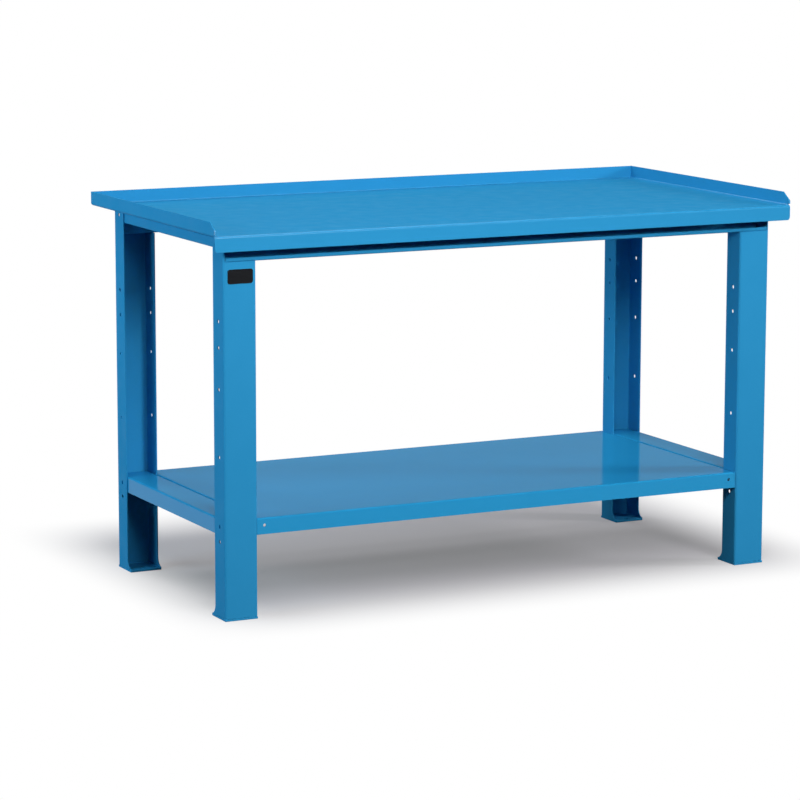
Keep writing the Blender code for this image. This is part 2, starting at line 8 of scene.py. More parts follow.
import bmesh
import bpy
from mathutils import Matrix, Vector


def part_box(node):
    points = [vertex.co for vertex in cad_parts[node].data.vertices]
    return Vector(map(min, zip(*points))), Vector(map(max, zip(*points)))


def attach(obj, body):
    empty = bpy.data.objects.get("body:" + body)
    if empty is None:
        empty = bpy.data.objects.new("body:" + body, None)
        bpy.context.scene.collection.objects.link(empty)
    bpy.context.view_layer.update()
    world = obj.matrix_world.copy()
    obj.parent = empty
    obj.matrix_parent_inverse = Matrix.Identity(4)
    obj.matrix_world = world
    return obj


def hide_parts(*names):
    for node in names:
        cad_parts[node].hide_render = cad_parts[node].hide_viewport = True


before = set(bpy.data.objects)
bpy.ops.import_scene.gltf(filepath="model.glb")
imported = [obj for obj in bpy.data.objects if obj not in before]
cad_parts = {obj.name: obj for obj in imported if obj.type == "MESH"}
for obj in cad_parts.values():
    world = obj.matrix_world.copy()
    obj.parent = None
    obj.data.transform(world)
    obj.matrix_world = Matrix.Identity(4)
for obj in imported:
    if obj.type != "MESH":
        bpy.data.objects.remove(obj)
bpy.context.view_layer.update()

# ---------------------------------------------------------------------------------------------------
# Camera: stands 7 m in front of the middle of the bench and 3.6 m to its left, 1.7 m up, and looks down
# to the right through a long lens. Its place and turn were solved from the straight edges in the
# photograph.
# ---------------------------------------------------------------------------------------------------
eye = bpy.data.cameras.new("camera")
eye.sensor_width = 36.0
eye.lens = 147.75
camera = bpy.data.objects.new("camera", eye)
bpy.context.scene.collection.objects.link(camera)
camera.location = (-3.58827, -6.97457, 1.72332)
camera.rotation_euler = (1.404206, -0.00146, -0.462585)
bpy.context.scene.camera = camera

# ---------------------------------------------------------------------------------------------------
# Legs: four channels of 2.5 mm steel sheet, cut by laser, punched along both flanges, folded twice and
# open towards the middle. The flanges flare out at the floor. Above the shoulder only the outer flange
# goes on, up to the worktop, and covers the end of the rail.
# ---------------------------------------------------------------------------------------------------
LEG_LOW, LEG_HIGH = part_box("leg_front_left")
LEG_SHEET = 0.0025
LEG_FOLD = 0.005
LEG_DEPTH = 0.058
LEG_SHOULDER = 0.8170
LEG_HOLE = 0.009
LEG_HOLE_LINE = LEG_LOW.y + 0.030
LEG_HOLE_HEIGHTS = (0.179, 0.213, 0.37238, 0.52692, 0.62171, 0.68087, 0.8617)
FLARE_RUN = 0.021
FLARE_RISE = 0.024
FLARE_STEPS = 10
MIDDLE_Y = (LEG_LOW.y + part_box("leg_rear_left")[1].y) / 2
# A quarter turn, the bend from which an edge shades sharp, and a drill long enough for one sheet.
TURN = math.pi / 2
SHARP = math.radians(48.0)
THROUGH = 0.02
# A corner this near a place lies there, corners this close are merged, and nothing is as far out as FAR.
NEAR = 1e-5
MERGED = 1e-6
FAR = 9.0


def hex_colour(value):
    """An sRGB colour such as #2c90c5 as linear red, green, blue and alpha."""
    shares = [int(value[i:i + 2], 16) / 255 for i in (1, 3, 5)]
    return tuple(c / 12.92 if c <= 0.04045 else ((c + 0.055) / 1.055) ** 2.4 for c in shares) + (1.0,)


def add_node(tree, kind, inputs=None, **settings):
    """Adds a node with its settings. An input is a value or another node's output, which is linked."""
    node = tree.nodes.new(kind)
    for name, value in settings.items():
        setattr(node, name, value)
    for name, value in (inputs or {}).items():
        if isinstance(value, bpy.types.NodeSocket):
            tree.links.new(value, node.inputs[name])
        else:
            node.inputs[name].default_value = value
    return node


def edit_all():
    """Opens the piece in hand in edit mode, with all of it picked."""
    bpy.ops.object.mode_set(mode="EDIT")
    bpy.ops.mesh.select_all(action="SELECT")


def leave_edit():
    """Leaves edit mode, where it is on."""
    if bpy.context.mode != "OBJECT":
        bpy.ops.object.mode_set(mode="OBJECT")


def set_down():
    """Leaves edit mode and lets go of everything."""
    leave_edit()
    bpy.ops.object.select_all(action="DESELECT")


def take(piece):
    """Makes one piece the only one selected."""
    set_down()
    piece.select_set(True)
    bpy.context.view_layer.objects.active = piece


def blank(name, middle, size, turn=(0.0, 0.0, 0.0)):
    """A flat blank of sheet, at its size and place, ready in edit mode."""
    set_down()
    bpy.ops.mesh.primitive_plane_add(size=1.0, location=middle, rotation=turn)
    piece = bpy.context.object
    piece.name = piece.data.name = name
    piece.scale = (size[0], size[1], 1.0)
    bpy.ops.object.transform_apply(location=True, rotation=True, scale=True)
    bpy.ops.object.mode_set(mode="EDIT")
    return piece


def pick(kind, x=None, y=None, z=None, more=False):
    """In edit mode, selects the corners, edges or faces that lie at these places or between these pairs."""
    bpy.ops.mesh.select_mode(type=kind)
    if not more:
        bpy.ops.mesh.select_all(action="DESELECT")
    mesh = bpy.context.object.data
    body = bmesh.from_edit_mesh(mesh)
    spans = [(-FAR, FAR) if s is None else s if isinstance(s, tuple) else (s, s) for s in (x, y, z)]
    for part in {"VERT": body.verts, "EDGE": body.edges, "FACE": body.faces}[kind]:
        points = [part.co] if kind == "VERT" else [corner.co for corner in part.verts]
        if all(low - NEAR <= c <= high + NEAR for p in points for c, (low, high) in zip(p, spans)):
            part.select_set(True)
    body.select_flush_mode()
    bmesh.update_edit_mesh(mesh)


def pull(x=0.0, y=0.0, z=0.0):
    """Extrudes what is picked."""
    bpy.ops.mesh.extrude_region_move(TRANSFORM_OT_translate={"value": (x, y, z)})


def fold(radius, steps):
    """Bends the sheet along the picked edges, to a radius on the face that is modelled."""
    bpy.ops.mesh.bevel(offset_type="OFFSET", offset=radius, segments=steps, profile=0.5, affect="EDGES",
                       clamp_overlap=False)


def slice_at(point, normal, drop=False):
    """Cuts what is picked along a plane, and drops the side that the normal points to."""
    bpy.ops.mesh.bisect(plane_co=point, plane_no=normal, use_fill=False, clear_outer=drop,
                        clear_inner=False, threshold=MERGED)


def finish_with(kind, **settings):
    """Adds a modifier to the piece in hand and applies it."""
    piece = bpy.context.object
    leave_edit()
    modifier = piece.modifiers.new(kind.lower(), kind)
    for name, value in settings.items():
        setattr(modifier, name, value)
    bpy.ops.object.modifier_apply(modifier=modifier.name)


def thicken(sheet, mitred=False):
    """Gives the folded face its sheet, away from the side that it faces."""
    if mitred:
        finish_with("SOLIDIFY", solidify_mode="NON_MANIFOLD", nonmanifold_thickness_mode="CONSTRAINTS",
                    thickness=sheet, offset=-1.0)
    else:
        finish_with("SOLIDIFY", thickness=sheet, offset=-1.0, use_even_offset=True,
                    use_quality_normals=True)


def work_with(tool, operation):
    """Cuts, trims or joins the piece in hand with another body, which is used up."""
    finish_with("BOOLEAN", object=tool, operation=operation, solver="EXACT")
    bpy.data.objects.remove(tool)
    edit_all()
    bpy.ops.mesh.remove_doubles(threshold=MERGED)
    leave_edit()


def drill(diameter, reach, turn, places, sides=32):
    """Drills round holes through the piece in hand, each with the drill's middle at its place."""
    piece = bpy.context.object
    set_down()
    drills = []
    for place in places:
        bpy.ops.mesh.primitive_cylinder_add(vertices=sides, radius=diameter / 2, depth=reach,
                                            location=place, rotation=turn)
        drills.append(bpy.context.object)
    for one in drills:
        one.select_set(True)
    if len(drills) > 1:
        bpy.ops.object.join()
    bit = bpy.context.object
    take(piece)
    work_with(bit, "DIFFERENCE")


def soften(width=0.0003, steps=2, limit=40.0):
    """Rounds the cut edges as paint does, and marks which edges shade sharp."""
    take(bpy.context.object)
    finish_with("BEVEL", width=width, segments=steps, limit_method="ANGLE",
                angle_limit=math.radians(limit), use_clamp_overlap=True, loop_slide=False)
    bpy.ops.object.shade_smooth_by_angle(angle=SHARP)


def copy_of(piece, name):
    """A copy with its own mesh."""
    take(piece)
    bpy.ops.object.duplicate(linked=False)
    twin = bpy.context.object
    twin.name = twin.data.name = name
    return twin


def mirror_copy(piece, name, across_x=False, across_y=False):
    """A copy that is mirrored over the middle of the bench's length, depth or both."""
    twin = copy_of(piece, name)
    edit_all()
    bpy.ops.transform.resize(value=(-1.0 if across_x else 1.0, -1.0 if across_y else 1.0, 1.0),
                             center_override=(0.0, MIDDLE_Y, 0.0))
    bpy.ops.mesh.remove_doubles(threshold=MERGED)
    bpy.ops.mesh.normals_make_consistent(inside=False)
    leave_edit()
    return twin


def four_corners(piece, name):
    """The front left piece and its three mirrored copies, named for their corners."""
    piece.name = piece.data.name = name + "_front_left"
    made = {"front_left": piece}
    for corner, over_x, over_y in (("front_right", True, False), ("rear_left", False, True),
                                   ("rear_right", True, True)):
        made[corner] = mirror_copy(piece, name + "_" + corner, over_x, over_y)
    return made


def fit(piece, finish, slot, *nodes):
    """Evens a finished piece's shading, paints it, joins it to the bench and replaces its CAD nodes."""
    take(piece)
    finish_with("WEIGHTED_NORMAL", keep_sharp=True, weight=80)
    piece.data.materials.clear()
    piece.data.materials.append(finish)
    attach(piece, "root")
    if nodes:
        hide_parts(*nodes)


def powder_coat(name, colour, light_colour, roughness, specular, peel_depth):
    """Polyester powder, sprayed on and baked at 200 degrees: an even blue skin with soft orange peel."""
    made = bpy.data.materials.new(name)
    made.use_nodes = True
    tree = made.node_tree
    shader = tree.nodes["Principled BSDF"]
    place = add_node(tree, "ShaderNodeTexCoord").outputs["Object"]
    # Orange peel has lumps of about 2 mm. They are drawn at 5 mm, because finer ones don't show.
    peel = add_node(tree, "ShaderNodeTexNoise", {"Vector": place, "Scale": 200.0, "Detail": 2.0})
    # The sheet itself is flat to about a twentieth of a millimetre over 120 mm.
    wave = add_node(tree, "ShaderNodeTexNoise", {"Vector": place, "Scale": 8.0, "Detail": 1.0})
    sheet_bump = add_node(tree, "ShaderNodeBump", {"Height": wave.outputs["Fac"], "Distance": 0.0001})
    skin_bump = add_node(tree, "ShaderNodeBump", {"Height": peel.outputs["Fac"], "Distance": peel_depth,
                                                  "Normal": sheet_bump.outputs["Normal"]})
    tree.links.new(skin_bump.outputs["Normal"], shader.inputs["Normal"])
    # Where the coat is thinner it bakes a shade lighter, in clouds of 60 mm and flecks of 3 mm.
    clouds = add_node(tree, "ShaderNodeTexNoise", {"Vector": place, "Scale": 16.0, "Detail": 3.0})
    flecks = add_node(tree, "ShaderNodeTexNoise", {"Vector": place, "Scale": 330.0, "Detail": 1.0})
    both = add_node(tree, "ShaderNodeMath", {0: clouds.outputs["Fac"], 1: flecks.outputs["Fac"]},
                    operation="MULTIPLY")
    thin = add_node(tree, "ShaderNodeMapRange", {"Value": both.outputs["Value"], "From Min": 0.12,
                                                 "From Max": 0.40})
    tint = add_node(tree, "ShaderNodeMix", {"Factor": thin.outputs["Result"], "A": hex_colour(colour),
                                            "B": hex_colour(light_colour)}, data_type="RGBA")
    tree.links.new(tint.outputs["Result"], shader.inputs["Base Color"])
    # Handling and cleaning leave the gloss uneven, in patches of 40 mm.
    handled = add_node(tree, "ShaderNodeTexNoise", {"Vector": place, "Scale": 25.0, "Detail": 4.0})
    gloss = add_node(tree, "ShaderNodeMapRange", {"Value": handled.outputs["Fac"], "From Min": 0.3,
                                                  "From Max": 0.7, "To Min": roughness * 0.85,
                                                  "To Max": roughness * 1.15})
    tree.links.new(gloss.outputs["Result"], shader.inputs["Roughness"])
    shader.inputs["IOR"].default_value = 1.5
    shader.inputs["Specular IOR Level"].default_value = specular
    return made


FRAME_SHINE = 0.02
frame_paint = powder_coat("semi_matt_blue_powder_coat", "#2c91c6", "#2e93c8", roughness=0.50,
                          specular=FRAME_SHINE, peel_depth=0.00002)

leg_x, leg_width = (LEG_LOW.x + LEG_HIGH.x) / 2, LEG_HIGH.x - LEG_LOW.x
leg = blank("leg_front_left", (leg_x, LEG_LOW.y, (LEG_LOW.z + LEG_HIGH.z) / 2),
            (leg_width, LEG_HIGH.z - LEG_LOW.z), (TURN, 0.0, 0.0))
for edge_x in (LEG_LOW.x, LEG_HIGH.x):
    pick("EDGE", x=edge_x)
    pull(y=LEG_DEPTH)
pick("EDGE", x=LEG_LOW.x, y=LEG_LOW.y)
pick("EDGE", x=LEG_HIGH.x, y=LEG_LOW.y, more=True)
fold(LEG_FOLD, 7)
bpy.ops.mesh.select_all(action="SELECT")
slice_at((0.0, 0.0, LEG_SHOULDER), (0.0, 0.0, 1.0))
pick("FACE", x=(LEG_LOW.x + LEG_FOLD, LEG_HIGH.x), z=(LEG_SHOULDER, LEG_HIGH.z))
bpy.ops.mesh.delete(type="FACE")
flare_radius = (FLARE_RUN ** 2 + FLARE_RISE ** 2) / (2 * FLARE_RUN)
for step in range(FLARE_STEPS):
    height = FLARE_RISE * (1 - step / FLARE_STEPS)
    bpy.ops.mesh.select_mode(type="FACE")
    bpy.ops.mesh.select_all(action="SELECT")
    slice_at((0.0, 0.0, LEG_LOW.z + height), (0.0, 0.0, 1.0))
for step in range(FLARE_STEPS + 1):
    height = FLARE_RISE * (1 - step / FLARE_STEPS)
    run = flare_radius - math.sqrt(flare_radius ** 2 - (FLARE_RISE - height) ** 2)
    pick("VERT", y=LEG_LOW.y + LEG_DEPTH, z=LEG_LOW.z + height)
    bpy.ops.transform.translate(value=(0.0, run, 0.0))
thicken(LEG_SHEET)
drill(LEG_HOLE, leg_width + 2 * THROUGH, (0.0, TURN, 0.0),
      [(leg_x, LEG_HOLE_LINE, height) for height in LEG_HOLE_HEIGHTS])
soften()
for corner, piece in four_corners(leg, "leg_sheet").items():
    fit(piece, frame_paint, "blue_powder_coat", "leg_" + corner)

# ---------------------------------------------------------------------------------------------------
# Foot plates: 5 mm steel, one under each leg, with two rounded corners and a hole for a floor anchor.
# They are welded on from inside the channel before the coat, with a rippled bead along each wall.
# ---------------------------------------------------------------------------------------------------
FOOT_LOW, FOOT_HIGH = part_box("foot_plate_front_left")
FOOT_CORNER = 0.003
FOOT_HOLE = 0.012
FOOT_HOLE_INSET = 0.018
# The web's bead stops this far from the channel's corners. Each flange's bead runs between these two
# distances from the web, and a bead's middle line lies this far off its wall.
WEB_BEAD_INSET = 0.008
FLANGE_BEAD = (0.010, 0.066)
BEAD_OFF_WALL = 0.0008
# A ripple is highest at this share of its length, where it swells this much.
BEAD_RADIUS = 0.0022
BEAD_RIPPLE = 0.0024
RIPPLE_CREST = 0.62
RIPPLE_SWELL = 1.16


def weld_bead(start, end):
    """A weld bead between two points: one ripple is modelled, repeated along the seam and closed."""
    start, end = Vector(start), Vector(end)
    count = max(2, round((end - start).length / BEAD_RIPPLE))
    pitch = (end - start).length / count
    crest = pitch * RIPPLE_CREST
    set_down()
    bpy.ops.mesh.primitive_cylinder_add(vertices=8, radius=BEAD_RADIUS, depth=pitch,
                                        end_fill_type="NOTHING", location=(0.0, 0.0, pitch / 2))
    bead = bpy.context.object
    bpy.ops.object.transform_apply(location=True, rotation=True, scale=True)
    edit_all()
    slice_at((0.0, 0.0, crest), (0.0, 0.0, 1.0))
    pick("VERT", z=crest)
    bpy.ops.transform.resize(value=(RIPPLE_SWELL, RIPPLE_SWELL, 1.0), center_override=(0.0, 0.0, 0.0))
    finish_with("ARRAY", count=count, use_relative_offset=False, use_constant_offset=True,
                constant_offset_displace=(0.0, 0.0, pitch), use_merge_vertices=True,
                merge_threshold=NEAR)
    edit_all()
    bpy.ops.mesh.fill_holes(sides=0)
    bpy.ops.mesh.normals_make_consistent(inside=False)
    leave_edit()
    bead.rotation_euler = (end - start).to_track_quat("Z", "Y").to_euler()
    bead.location = start
    bpy.ops.object.transform_apply(location=True, rotation=True, scale=True)
    bpy.ops.object.shade_smooth()
    return bead


def join_pieces(name, pieces):
    """Makes several pieces one object."""
    set_down()
    for piece in pieces:
        piece.select_set(True)
    bpy.context.view_layer.objects.active = pieces[0]
    bpy.ops.object.join()
    pieces[0].name = pieces[0].data.name = name
    return pieces[0]


plate = blank("foot_plate", ((FOOT_LOW.x + FOOT_HIGH.x) / 2, (FOOT_LOW.y + FOOT_HIGH.y) / 2, FOOT_HIGH.z),
              (FOOT_HIGH.x - FOOT_LOW.x, FOOT_HIGH.y - FOOT_LOW.y))
pick("VERT", y=FOOT_HIGH.y)
bpy.ops.mesh.bevel(offset=FOOT_CORNER, segments=5, profile=0.5, affect="VERTICES", clamp_overlap=False)
thicken(FOOT_HIGH.z)
drill(FOOT_HOLE, THROUGH, (0.0, 0.0, 0.0),
      [((FOOT_LOW.x + FOOT_HIGH.x) / 2, FOOT_HIGH.y - FOOT_HOLE_INSET, 0.0)])
soften(width=0.0005)
for corner, piece in four_corners(plate, "foot_sheet").items():
    fit(piece, frame_paint, "blue_powder_coat", "foot_plate_" + corner)

wall = LEG_SHEET + BEAD_OFF_WALL
beads = [weld_bead((LEG_LOW.x + WEB_BEAD_INSET, LEG_LOW.y + wall, FOOT_HIGH.z),
                   (LEG_HIGH.x - WEB_BEAD_INSET, LEG_LOW.y + wall, FOOT_HIGH.z))]
for bead_x in (LEG_LOW.x + wall, LEG_HIGH.x - wall):
    beads.append(weld_bead(*[(bead_x, LEG_LOW.y + reach, FOOT_HIGH.z) for reach in FLANGE_BEAD]))
for piece in four_corners(join_pieces("foot_weld", beads), "foot_weld").values():
    fit(piece, frame_paint, "blue_powder_coat")

# ---------------------------------------------------------------------------------------------------
# Rails: 2 mm sheet folded to a lipped C, one under the front and one under the rear of the worktop.
# They are open outwards and rest on the legs' webs. A 3 mm plate is welded across each end.
# ---------------------------------------------------------------------------------------------------
RAIL_LOW, RAIL_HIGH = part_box("rail_front")
RAIL_SHEET = 0.002
RAIL_FOLD = 0.0035
RAIL_LIP = 0.009
STUD_PLACES = (-0.555, 0.0, 0.555)
STUD_Y = -0.312
STUD_HOLE = 0.009
PLATE_LOW, PLATE_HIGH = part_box("rail_plate_front_left")
RAIL_SCREW_Z = LEG_HOLE_HEIGHTS[-1]

rail = blank("rail_front", (0.0, RAIL_HIGH.y, (RAIL_LOW.z + RAIL_HIGH.z) / 2),
             (RAIL_HIGH.x - RAIL_LOW.x, RAIL_HIGH.z - RAIL_LOW.z), (-TURN, 0.0, 0.0))
for edge_z, lip in ((RAIL_HIGH.z, -RAIL_LIP), (RAIL_LOW.z, RAIL_LIP)):
    pick("EDGE", z=edge_z)
    pull(y=RAIL_LOW.y - RAIL_HIGH.y)
    pull(z=lip)
for edge_z in (RAIL_LOW.z, RAIL_HIGH.z):
    for edge_y in (RAIL_LOW.y, RAIL_HIGH.y):
        pick("EDGE", y=edge_y, z=edge_z, more=(edge_z, edge_y) != (RAIL_LOW.z, RAIL_LOW.y))
fold(RAIL_FOLD, 6)
thicken(RAIL_SHEET)
drill(STUD_HOLE, THROUGH, (0.0, 0.0, 0.0), [(x, STUD_Y, RAIL_HIGH.z) for x in STUD_PLACES])
soften()
fit(mirror_copy(rail, "rail_sheet_rear", across_y=True), frame_paint, "blue_powder_coat", "rail_rear")
rail.name = rail.data.name = "rail_sheet_front"
fit(rail, frame_paint, "blue_powder_coat", "rail_front")

end_plate = blank("end_plate", (PLATE_HIGH.x, (PLATE_LOW.y + PLATE_HIGH.y) / 2,
                                (PLATE_LOW.z + PLATE_HIGH.z) / 2),
                  (PLATE_HIGH.z - PLATE_LOW.z, PLATE_HIGH.y - PLATE_LOW.y), (0.0, TURN, 0.0))
thicken(PLATE_HIGH.x - PLATE_LOW.x)
drill(LEG_HOLE, THROUGH, (0.0, TURN, 0.0), [(PLATE_HIGH.x, LEG_HOLE_LINE, RAIL_SCREW_Z)])
soften()
for corner, piece in four_corners(end_plate, "rail_end_plate").items():
    fit(piece, frame_paint, "blue_powder_coat", "rail_plate_" + corner)

# ---------------------------------------------------------------------------------------------------
# Rail screws: M8 hexagon screws, cold headed, with a rolled thread and zinc plated. One in each end
# plate pulls the rail against the leg's outer flange from inside the rail, and ends in the flange.
# ---------------------------------------------------------------------------------------------------
SCREW_LOW, SCREW_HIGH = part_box("rail_screw_front_left")
THREAD_RADIUS = 0.004
THREAD_ROOT = 0.00345
THREAD_PITCH = 0.00125
# Chamfers of 30 degrees leave a flat of this share of the hexagon, measured over its corners.
HEX_CORNER = (SCREW_HIGH.y - SCREW_LOW.y) / 2
HEX_FLAT = 0.84
HEX_CHAMFER = math.radians(30.0)
# The head, the washer face under it and the plain neck under that, and the cone at the thread's tip.
HEAD_HEIGHT = 0.0053
WASHER_FACE = 0.0004
WASHER_RADIUS = 0.80 * HEX_CORNER
NECK = 0.0008
TIP = 0.0006
# A shape that cuts another goes this far past its end, and clears its sides by this much.
PAST = 0.001
SLACK = 0.0002
# The bend from which a fastener's edge shades sharp.
SHARP_THREAD = math.radians(28.0)


def turned(name, outline, sides=32):
    """A body turned about the upright axis: its outline, as (height, radius) pairs, is drawn and spun."""
    set_down()
    bpy.ops.mesh.primitive_plane_add(size=0.001, location=(0.0, 0.0, 0.0))
    body = bpy.context.object
    body.name = body.data.name = name
    bpy.ops.object.mode_set(mode="EDIT")
    bpy.ops.mesh.select_mode(type="VERT")
    bpy.ops.mesh.select_all(action="SELECT")
    bpy.ops.mesh.merge(type="CENTER")
    height, radius = outline[0]
    bpy.ops.transform.translate(value=(radius, 0.0, height))
    for next_height, next_radius in outline[1:]:
        pull(x=next_radius - radius, z=next_height - height)
        height, radius = next_height, next_radius
    bpy.ops.mesh.select_all(action="SELECT")
    bpy.ops.mesh.spin(steps=sides, angle=2 * math.pi, center=(0.0, 0.0, 0.0), axis=(0.0, 0.0, 1.0))
    bpy.ops.mesh.select_all(action="SELECT")
    bpy.ops.mesh.remove_doubles(threshold=MERGED)
    bpy.ops.mesh.normals_make_consistent(inside=False)
    leave_edit()
    return body


def hexagon(name, low, high, both_ends=False):
    """An upright hexagonal body, with its corners turned off at the top or at both ends."""
    set_down()
    clear = HEX_CORNER + SLACK
    flat = HEX_CORNER * HEX_FLAT
    drop = (clear - flat) * math.tan(HEX_CHAMFER)
    bpy.ops.mesh.primitive_cylinder_add(vertices=6, radius=HEX_CORNER, depth=high - low,
                                        location=(0.0, 0.0, (low + high) / 2))
    body = bpy.context.object
    body.name = body.data.name = name
    bpy.ops.object.transform_apply(location=True, rotation=True, scale=True)
    start = [(low, 0.0), (low, flat), (low + drop, clear)]
    if not both_ends:
        start = [(low - PAST, 0.0), (low - PAST, clear)]
    cone = turned("cone", start + [(high - drop, clear), (high, flat), (high, 0.0)], sides=48)
    take(body)
    work_with(cone, "INTERSECT")
    return body


def thread(start, end):
    """The outline of a rolled thread from one height to another, with a chamfered tip."""
    outline, height = [(start, THREAD_RADIUS)], start
    while height + THREAD_PITCH < end - TIP - SLACK:
        outline += [(height + THREAD_PITCH / 2, THREAD_ROOT), (height + THREAD_PITCH, THREAD_RADIUS)]
        height += THREAD_PITCH
    return outline + [(end - TIP, THREAD_RADIUS), (end, THREAD_ROOT), (end, 0.0)]


def hex_screw(name, length):
    """A hexagon screw that stands on its head, with the head's seat at height 0."""
    head = hexagon(name, WASHER_FACE, HEAD_HEIGHT)
    edit_all()
    bpy.ops.transform.resize(value=(1.0, 1.0, -1.0), center_override=(0.0, 0.0, 0.0))
    bpy.ops.mesh.normals_make_consistent(inside=False)
    leave_edit()
    sunk = -3 * WASHER_FACE
    shank = turned("shank", [(sunk, 0.0), (sunk, WASHER_RADIUS), (0.0, WASHER_RADIUS), (0.0, THREAD_RADIUS)]
                   + thread(NECK, length))
    take(head)
    work_with(shank, "UNION")
    return head


def stand(piece, place, way):
    """Puts a fastener that is modelled upright in its place, with its upright axis the way given."""
    take(piece)
    piece.rotation_euler = Vector(way).to_track_quat("Z", "X").to_euler()
    piece.location = place
    bpy.ops.object.transform_apply(location=True, rotation=True, scale=True)
    bpy.ops.object.shade_smooth_by_angle(angle=SHARP_THREAD)
    return piece


# Bright zinc, 8 thousandths of a millimetre thick: a cool silver with a cloudy passivated sheen.
zinc = bpy.data.materials.new("bright_zinc_plate")
zinc.use_nodes = True
tree = zinc.node_tree
shader = tree.nodes["Principled BSDF"]
place = add_node(tree, "ShaderNodeTexCoord").outputs["Object"]
# The passivation clouds over in patches of 4 mm.
clouds = add_node(tree, "ShaderNodeTexNoise", {"Vector": place, "Scale": 250.0, "Detail": 3.0})
tint = add_node(tree, "ShaderNodeMix", {"Factor": clouds.outputs["Fac"], "A": hex_colour("#b9bec4"),
                                        "B": hex_colour("#d6d8d6")}, data_type="RGBA")
tree.links.new(tint.outputs["Result"], shader.inputs["Base Color"])
sheen = add_node(tree, "ShaderNodeMapRange", {"Value": clouds.outputs["Fac"], "From Min": 0.3,
                                              "From Max": 0.7, "To Min": 0.24, "To Max": 0.42})
tree.links.new(sheen.outputs["Result"], shader.inputs["Roughness"])
# Tumbling in the plating barrel leaves dents of about 0.6 mm.
dents = add_node(tree, "ShaderNodeTexNoise", {"Vector": place, "Scale": 1600.0, "Detail": 2.0})
bump = add_node(tree, "ShaderNodeBump", {"Height": dents.outputs["Fac"], "Distance": 0.00003})
tree.links.new(bump.outputs["Normal"], shader.inputs["Normal"])
shader.inputs["Metallic"].default_value = 1.0

screw_seat = SCREW_HIGH.x - HEAD_HEIGHT
screw = stand(hex_screw("rail_hex_screw", screw_seat - SCREW_LOW.x),
              (screw_seat, LEG_HOLE_LINE, RAIL_SCREW_Z), (-1.0, 0.0, 0.0))
for corner, piece in four_corners(screw, "rail_hex_screw").items():
    fit(piece, zinc, "zinc_plated_steel", "rail_screw_" + corner)

# ---------------------------------------------------------------------------------------------------
# End beams: 2 mm sheet folded to a C, open towards the middle of the bench. Each joins the front and
# rear rail inside the outer flanges of the legs, and is welded to the rails' backs.
# ---------------------------------------------------------------------------------------------------
BEAM_LOW, BEAM_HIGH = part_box("end_beam_left")
BEAM_SHEET = 0.002
BEAM_FOLD = 0.004
# The beads' middle lines lie this far off the sheet and this far in from the beam's end. They stop this
# far short of the fold, the upper flange and the lower flange's edge.
SEAM_OFF_SHEET = 0.0010
SEAM_IN = 0.0004
SEAM_STOPS = (0.003, 0.005, 0.002)

beam = blank("end_beam_left",
             (BEAM_LOW.x, (BEAM_LOW.y + BEAM_HIGH.y) / 2, (BEAM_LOW.z + BEAM_HIGH.z) / 2),
             (BEAM_HIGH.z - BEAM_LOW.z, BEAM_HIGH.y - BEAM_LOW.y), (0.0, -TURN, 0.0))
for edge_z in (BEAM_LOW.z, BEAM_HIGH.z):
    pick("EDGE", z=edge_z)
    pull(x=BEAM_HIGH.x - BEAM_LOW.x)
pick("EDGE", x=BEAM_LOW.x, z=BEAM_LOW.z)
pick("EDGE", x=BEAM_LOW.x, z=BEAM_HIGH.z, more=True)
fold(BEAM_FOLD, 6)
thicken(BEAM_SHEET)
soften()
fit(mirror_copy(beam, "end_beam_sheet_right", across_x=True), frame_paint, "blue_powder_coat",
    "end_beam_right")
beam.name = beam.data.name = "end_beam_sheet_left"
fit(beam, frame_paint, "blue_powder_coat", "end_beam_left")

seam_x = BEAM_LOW.x + BEAM_SHEET + SEAM_OFF_SHEET
seam_y = BEAM_LOW.y + SEAM_IN
seam_z = BEAM_LOW.z + BEAM_SHEET + SEAM_OFF_SHEET
at_fold, at_top, at_edge = SEAM_STOPS
beads = [
    weld_bead((seam_x, seam_y, seam_z + at_fold), (seam_x, seam_y, BEAM_HIGH.z - at_top)),
    weld_bead((seam_x + at_fold, seam_y, seam_z), (BEAM_HIGH.x - at_edge, seam_y, seam_z)),
]
for piece in four_corners(join_pieces("end_beam_weld", beads), "end_beam_weld").values():
    fit(piece, frame_paint, "blue_powder_coat")

# ---------------------------------------------------------------------------------------------------
# Worktop: one 3 mm sheet, folded up to a lip at the rear and both ends and rolled down to a skirt in
# front. The lips slope down at the front, the rear corners are welded and ground, and a small relief
# is left where lip and skirt part.
# ---------------------------------------------------------------------------------------------------
TOP_LOW, TOP_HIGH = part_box("worktop")
TOP_FACE = 0.880
TOP_SHEET = 0.003
TOP_FOLD = 0.003
TOP_ROLL = 0.006
LIP_SLOPE_RUN = 0.028
LIP_SLOPE_DROP = 0.019
SKIRT_CORNER = 0.010
GROUND_CORNER = 0.0015
# The smooth coat in the folds ends this far past them, and shines this much where it is thickest.
COAT_REACH = 0.0005
COAT_SHINE = 0.45
inner_x = TOP_HIGH.x - TOP_SHEET
inner_y = TOP_HIGH.y - TOP_SHEET
roll_y = TOP_LOW.y + TOP_ROLL
skirt_x = TOP_HIGH.x - TOP_ROLL

